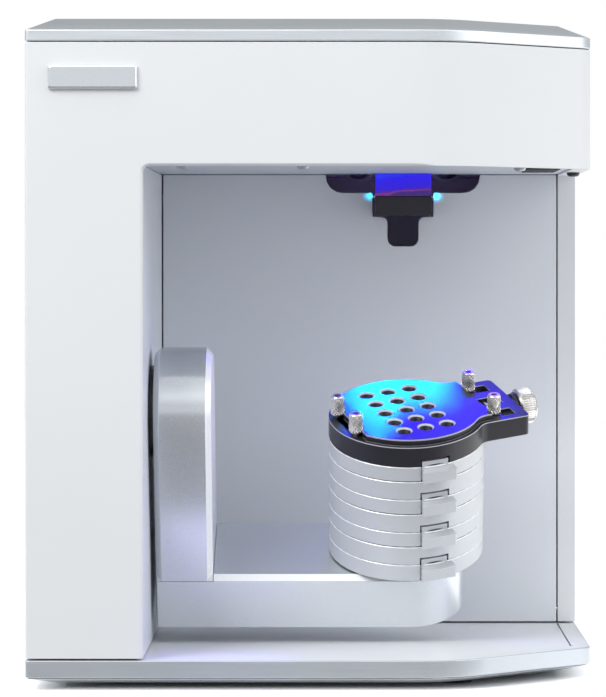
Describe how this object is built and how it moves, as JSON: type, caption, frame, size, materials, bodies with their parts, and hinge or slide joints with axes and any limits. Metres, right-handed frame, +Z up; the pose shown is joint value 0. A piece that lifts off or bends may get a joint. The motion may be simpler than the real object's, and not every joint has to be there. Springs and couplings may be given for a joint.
{
  "type": "desktop 3d scanner",
  "caption": "Open-chamber desktop 3D scanner: a tilting L-shaped arm carries a turntable, height spacers and a clamping jig below a projector hood.",
  "frame": {"origin": "middle of the footprint on the table top, at the undersides of the feet", "axes": "+Z up, -Y out of the open front that carries the badge, +X to the right as seen from the front; the tilt axis is parallel to X"},
  "size_m": [0.29, 0.295, 0.34],
  "materials": {
    "white_paint": "satin powder coat, almost white",
    "brushed_plate": "fine brushed along X, clear anodised",
    "silver_anodised": "bead blasted and clear anodised, satin",
    "chamber_grey": "satin light grey coat",
    "black_anodised": "matt black anodised",
    "steel": "turned and knurled, bright",
    "zinc_plated": "zinc plated sheet and turned parts",
    "black_plastic": "moulded, fine texture",
    "black_rubber": "matt",
    "blue_window": "lit from behind in blue",
    "lens_glass": "coated lens in a black barrel",
    "circuit_board": "green solder resist"
  },
  "bodies": {
    "housing": {"base_plate": "brushed_plate", "bottom_cover": "brushed_plate", "top_lid": "brushed_plate", "foot_front_left": "black_rubber", "foot_front_right": "black_rubber", "foot_back_left": "black_rubber", "foot_back_right": "black_rubber", "tilt_belt": "black_rubber", "housing_shell": "white_paint", "rear_panel": "white_paint", "badge_plate": "silver_anodised", "side_wall_panel": "chamber_grey", "back_wall_panel": "chamber_grey", "ceiling_panel": "chamber_grey", "projector_hood": "black_plastic", "switch_frame": "black_plastic", "power_inlet": "black_plastic", "fan_frame": "black_plastic", "hood_window": "blue_window", "projector_lens": "lens_glass", "camera_lens_left": "lens_glass", "camera_lens_right": "lens_glass", "projector_body": "black_anodised", "camera_body_left": "black_anodised", "camera_body_right": "black_anodised", "tilt_motor": "black_anodised", "optics_bracket": "zinc_plated", "bearing_block": "zinc_plated", "usb_socket": "zinc_plated", "power_supply": "zinc_plated", "tilt_bearing": "steel", "main_board": "circuit_board"},
    "arm": {"arm_leg": "silver_anodised", "arm_foot": "silver_anodised", "arm_cover": "silver_anodised", "tilt_shaft": "black_anodised", "tilt_pulley": "zinc_plated", "table_bearing": "steel", "table_belt": "black_rubber", "table_motor": "black_anodised"},
    "turntable": {"table_pulley": "zinc_plated", "turntable_platter": "silver_anodised", "height_spacer_1": "silver_anodised", "height_spacer_2": "silver_anodised", "height_spacer_3": "silver_anodised", "jig_base": "black_anodised", "fixed_post_front": "steel", "fixed_post_back": "steel"},
    "clamp_screw": {"clamp_screw": "black_anodised", "clamp_knob": "steel"},
    "clamp_jaw": {"clamp_jaw": "black_anodised", "jaw_post_front": "steel", "jaw_post_back": "steel"},
    "tilt_pinion": {"tilt_pinion": "zinc_plated"},
    "table_pinion": {"table_pinion": "zinc_plated"},
    "power_switch": {"power_switch": "black_plastic"},
    "fan_rotor": {"fan_rotor": "black_plastic"}
  },
  "joints": [
    {"name": "arm_tilt", "type": "hinge", "parent": "housing", "child": "arm", "pos_m": [-0.0855, -0.066, 0.1382], "axis": [1, 0, 0], "range_deg": [-82, 38]},
    {"name": "tilt_pinion_turn", "type": "hinge", "parent": "housing", "child": "tilt_pinion", "pos_m": [-0.11, -0.066, 0.0622], "axis": [1, 0, 0], "range_deg": [-330, 155]},
    {"name": "turntable_spin", "type": "hinge", "parent": "arm", "child": "turntable", "pos_m": [0.0489, -0.066, 0.1382], "axis": [0, -0.3746, 0.9272], "continuous": true},
    {"name": "table_pinion_turn", "type": "hinge", "parent": "arm", "child": "table_pinion", "pos_m": [-0.0061, -0.066, 0.1382], "axis": [0, -0.3746, 0.9272], "continuous": true},
    {"name": "clamp_screw_turn", "type": "hinge", "parent": "turntable", "child": "clamp_screw", "pos_m": [0.0489, -0.06269, 0.12999], "axis": [0.9205, 0.3623, 0.1464], "range_deg": [0, 1728]},
    {"name": "clamp_jaw_slide", "type": "slide", "parent": "turntable", "child": "clamp_jaw", "axis": [0.9205, 0.3623, 0.1464], "range_m": [0, 0.0072]},
    {"name": "power_switch_rock", "type": "hinge", "parent": "housing", "child": "power_switch", "pos_m": [-0.038, 0.1429, 0.0782], "axis": [1, 0, 0], "range_deg": [-16, 0]},
    {"name": "fan_spin", "type": "hinge", "parent": "housing", "child": "fan_rotor", "pos_m": [0.072, 0.135, 0.1662], "axis": [0, 1, 0], "continuous": true}
  ],
  "couplings": [
    {"joint": "tilt_pinion_turn", "follows": "arm_tilt", "ratio": 4},
    {"joint": "table_pinion_turn", "follows": "turntable_spin", "ratio": 3},
    {"joint": "clamp_jaw_slide", "follows": "clamp_screw_turn", "m_per_rad": 0.00023873}
  ]
}
